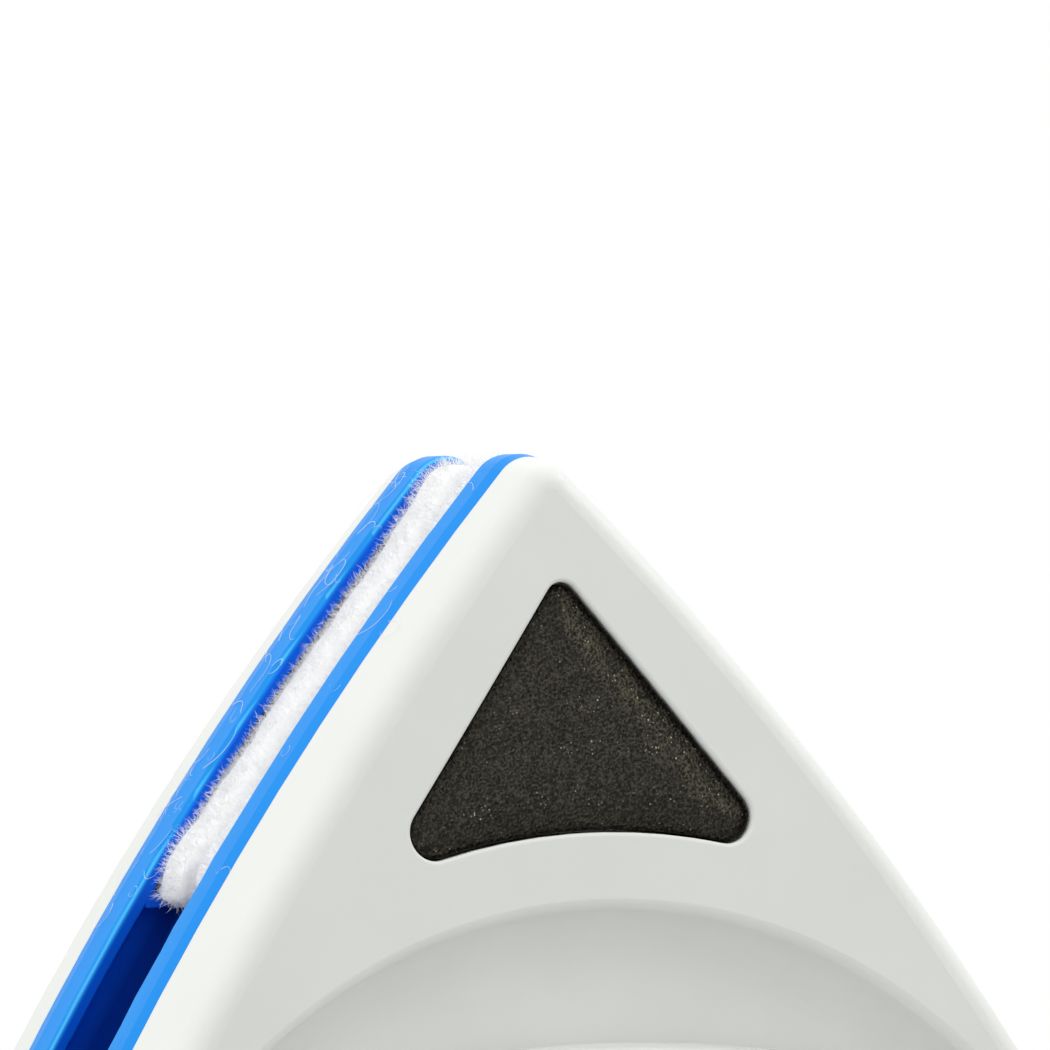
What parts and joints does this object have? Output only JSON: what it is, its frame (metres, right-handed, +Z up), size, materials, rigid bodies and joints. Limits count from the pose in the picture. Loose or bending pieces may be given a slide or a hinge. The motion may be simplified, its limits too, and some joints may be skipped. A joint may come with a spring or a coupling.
{
  "type": "magnetic window cleaner",
  "caption": "Triangular double-sided magnetic glass cleaner: a half on each face of the pane, with wool pads, wiper blades and a finger grip.",
  "frame": {"origin": "on the floor under the centre of the closed cleaner, midway between its halves, which stand on one bowed side", "axes": "+Z up towards the upper corner, +Y square to the pane from the front half to the rear half, +X to the right of a person who faces the front half"},
  "size_m": [0.1454, 0.0422, 0.1354],
  "materials": {
    "shell_white": "satin moulded ABS",
    "grip_white": "polished ABS",
    "frame_blue": "satin moulded plastic",
    "foam_black": "speckled open foam",
    "wool_white": "deep white pile",
    "blade_rubber": "matte rubber",
    "tray_black": "moulded",
    "magnet_nickel": "nickel plate",
    "yoke_steel": "zinc-plated sheet",
    "screw_steel": "zinc plate"
  },
  "bodies": {
    "front_half": {"front_shell": "shell_white", "front_grip": "grip_white", "front_frame": "frame_blue", "front_magnet_tray": "tray_black", "front_yoke_plate": "yoke_steel", "front_shell_screws": "screw_steel", "front_grip_screws": "screw_steel", "front_foam_top": "foam_black", "front_foam_left": "foam_black", "front_foam_right": "foam_black", "front_wool_pad_top": "wool_white", "front_wool_pad_left": "wool_white", "front_wool_pad_right": "wool_white", "front_magnet_top": "magnet_nickel", "front_magnet_left": "magnet_nickel", "front_magnet_right": "magnet_nickel", "front_blade_lower": "blade_rubber", "front_blade_left": "blade_rubber", "front_blade_right": "blade_rubber"},
    "rear_half": {"rear_shell": "shell_white", "rear_grip": "grip_white", "rear_frame": "frame_blue", "rear_magnet_tray": "tray_black", "rear_yoke_plate": "yoke_steel", "rear_shell_screws": "screw_steel", "rear_grip_screws": "screw_steel", "rear_foam_top": "foam_black", "rear_foam_left": "foam_black", "rear_foam_right": "foam_black", "rear_wool_pad_top": "wool_white", "rear_wool_pad_left": "wool_white", "rear_wool_pad_right": "wool_white", "rear_magnet_top": "magnet_nickel", "rear_magnet_left": "magnet_nickel", "rear_magnet_right": "magnet_nickel", "rear_blade_lower": "blade_rubber", "rear_blade_left": "blade_rubber", "rear_blade_right": "blade_rubber"}
  },
  "joints": [
    {"name": "pull_apart", "type": "slide", "parent": "front_half", "child": "rear_half", "axis": [0, 1, 0], "range_m": [0, 0.06], "stiffness_N_per_m": 20, "springref_m": -0.05}
  ]
}
